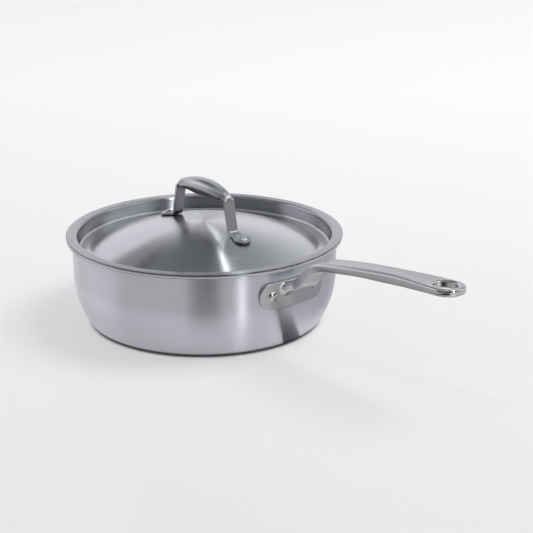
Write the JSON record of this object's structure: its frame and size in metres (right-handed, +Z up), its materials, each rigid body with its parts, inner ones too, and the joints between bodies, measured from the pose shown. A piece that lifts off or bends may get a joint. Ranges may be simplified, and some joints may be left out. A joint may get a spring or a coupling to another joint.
{
  "type": "saucier_with_lid",
  "caption": "Clad stainless steel saucier with curved walls, riveted long handle and flat-rimmed domed lid with arched handle",
  "frame": {"origin": "centre of the pan's flat base, where it stands on the hob", "axes": "+Z up, +X along the pan handle away from the pan, +Y across the handle"},
  "size_m": [0.4399, 0.255, 0.1322],
  "materials": {
    "pan_skin": "brushed round the wall",
    "pan_core_sheet": "mill finish",
    "pan_lining": "brushed in circles",
    "cast_handle": "satin along the grip, polished tip",
    "handle_rivet_left": "polished",
    "handle_rivet_right": "polished",
    "lid_sheet": "spun satin",
    "lid_strap": "satin with polished edges",
    "lid_rivet_left": "polished",
    "lid_rivet_right": "polished"
  },
  "bodies": {
    "pan": {"pan_outer_ply": "pan_skin", "pan_core": "pan_core_sheet", "pan_inner_ply": "pan_lining", "pan_handle": "cast_handle", "pan_rivet_left": "handle_rivet_left", "pan_rivet_right": "handle_rivet_right"},
    "lid": {"lid": "lid_sheet", "lid_handle": "lid_strap", "lid_rivet_left": "lid_rivet_left", "lid_rivet_right": "lid_rivet_right"}
  },
  "joints": [
    {"name": "lid_lift", "type": "slide", "parent": "pan", "child": "lid", "axis": [0, 0, 1], "range_m": [0, 0.12]}
  ]
}
